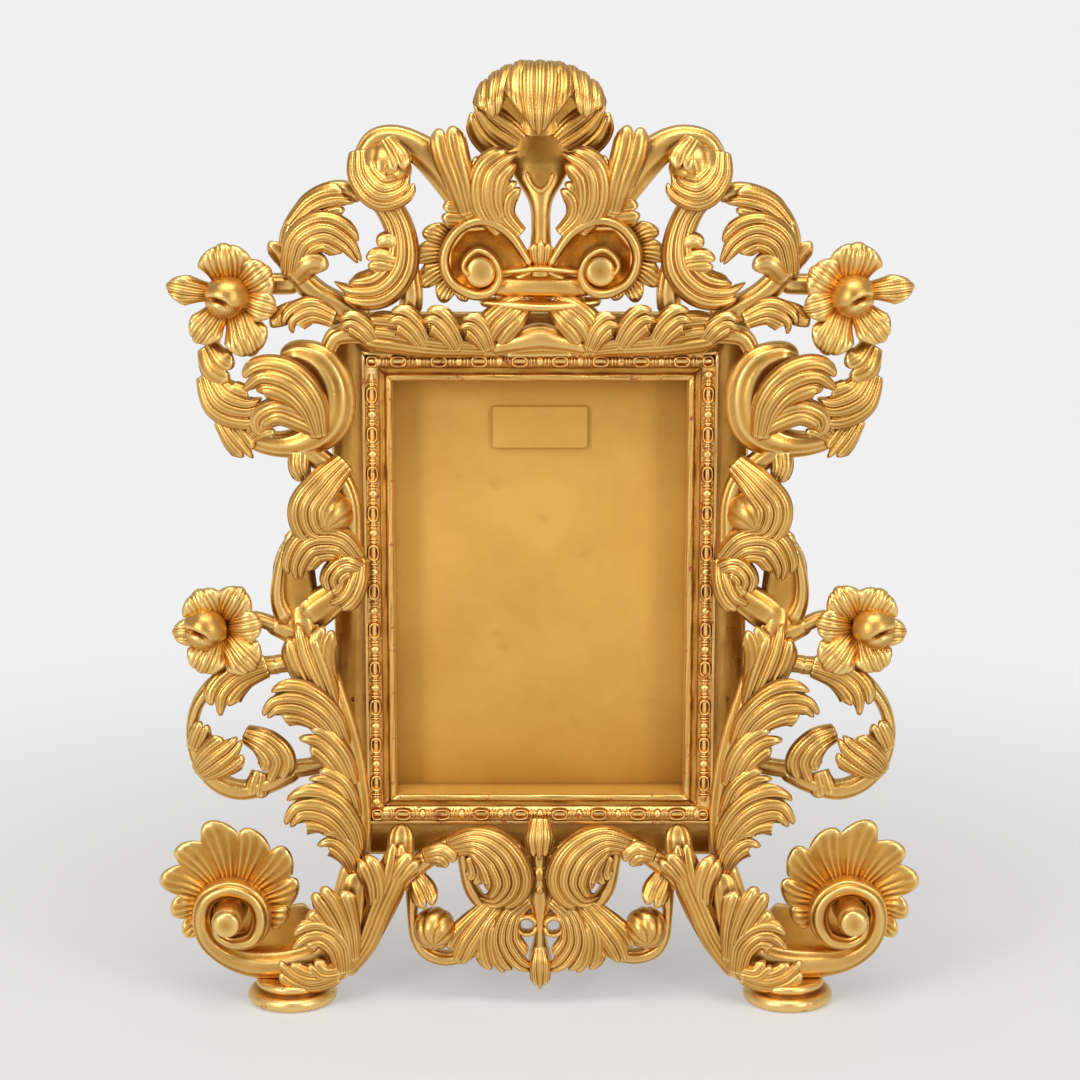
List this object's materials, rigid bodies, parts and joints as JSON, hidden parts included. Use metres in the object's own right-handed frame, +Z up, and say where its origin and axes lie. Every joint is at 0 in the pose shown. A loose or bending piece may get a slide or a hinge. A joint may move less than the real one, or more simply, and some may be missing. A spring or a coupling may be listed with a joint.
{
  "type": "ornate table picture frame",
  "caption": "Upright gilded picture frame of carved acanthus scrollwork on two turned feet, with a hinged rear prop and a backboard held by turn buttons.",
  "frame": {"origin": "on the table, in the middle of the width, halfway between the front of the volutes and the foot of the open prop", "axes": "+Z up; -Y is the side the picture is seen from; +X is the viewer's right"},
  "size_m": [0.5784, 0.2346, 0.7181],
  "materials": {
    "gilt": "carved wood under gold leaf, rubbed bright on the high points, warm brown in the hollows",
    "ochre": "matt ochre paint on board",
    "brass": "aged satin brass",
    "bare_wood": "bare oiled wood"
  },
  "bodies": {
    "frame": {"sight_rail_top": "gilt", "sight_rail_bottom": "gilt", "sight_rail_left": "gilt", "sight_rail_right": "gilt", "bead_strip_top": "gilt", "bead_strip_bottom": "gilt", "bead_strip_left": "gilt", "bead_strip_right": "gilt", "box_top": "gilt", "box_bottom": "gilt", "box_left": "gilt", "box_right": "gilt", "backboard": "ochre", "plaque_plate": "ochre", "hinge_bracket": "brass", "hinge_pin": "brass", "back_screws": "brass", "crest_shell": "gilt", "crest_cartouche": "gilt", "apron_palmette": "gilt", "foot_disc_left": "gilt", "foot_disc_right": "gilt", "foot_scroll_left": "gilt", "foot_scroll_right": "gilt", "volute_shell_left": "gilt", "volute_shell_right": "gilt", "foot_leaf_left": "gilt", "foot_leaf_right": "gilt", "corner_leaf_left": "gilt", "corner_leaf_right": "gilt", "apron_scroll_left": "gilt", "apron_scroll_right": "gilt", "apron_ball_left": "gilt", "apron_ball_right": "gilt", "lower_leaf_left": "gilt", "lower_leaf_right": "gilt", "lower_ring_left": "gilt", "lower_ring_right": "gilt", "lower_flower_left": "gilt", "lower_flower_right": "gilt", "waist_scroll_left": "gilt", "waist_scroll_right": "gilt", "side_scroll_left": "gilt", "side_scroll_right": "gilt", "upper_ring_left": "gilt", "upper_ring_right": "gilt", "upper_flower_left": "gilt", "upper_flower_right": "gilt", "upper_scroll_left": "gilt", "upper_scroll_right": "gilt", "top_leaf_left": "gilt", "top_leaf_right": "gilt", "crest_arm_left": "gilt", "crest_arm_right": "gilt"},
    "prop": {"prop_leg": "bare_wood"},
    "button_lower_left": {"turn_button_lower_left": "brass"},
    "button_lower_right": {"turn_button_lower_right": "brass"},
    "button_upper_left": {"turn_button_upper_left": "brass"},
    "button_upper_right": {"turn_button_upper_right": "brass"}
  },
  "joints": [
    {"name": "prop_hinge", "type": "hinge", "parent": "frame", "child": "prop", "pos_m": [0, -0.02775, 0.518], "axis": [1, 0, 0], "range_deg": [-15, 0]},
    {"name": "button_lower_left_turn", "type": "hinge", "parent": "frame", "child": "button_lower_left", "pos_m": [-0.143, -0.03775, 0.234], "axis": [0, 1, 0], "range_deg": [-90, 90]},
    {"name": "button_lower_right_turn", "type": "hinge", "parent": "frame", "child": "button_lower_right", "pos_m": [0.143, -0.03775, 0.234], "axis": [0, 1, 0], "range_deg": [-90, 90]},
    {"name": "button_upper_left_turn", "type": "hinge", "parent": "frame", "child": "button_upper_left", "pos_m": [-0.143, -0.03775, 0.415], "axis": [0, 1, 0], "range_deg": [-90, 90]},
    {"name": "button_upper_right_turn", "type": "hinge", "parent": "frame", "child": "button_upper_right", "pos_m": [0.143, -0.03775, 0.415], "axis": [0, 1, 0], "range_deg": [-90, 90]}
  ]
}
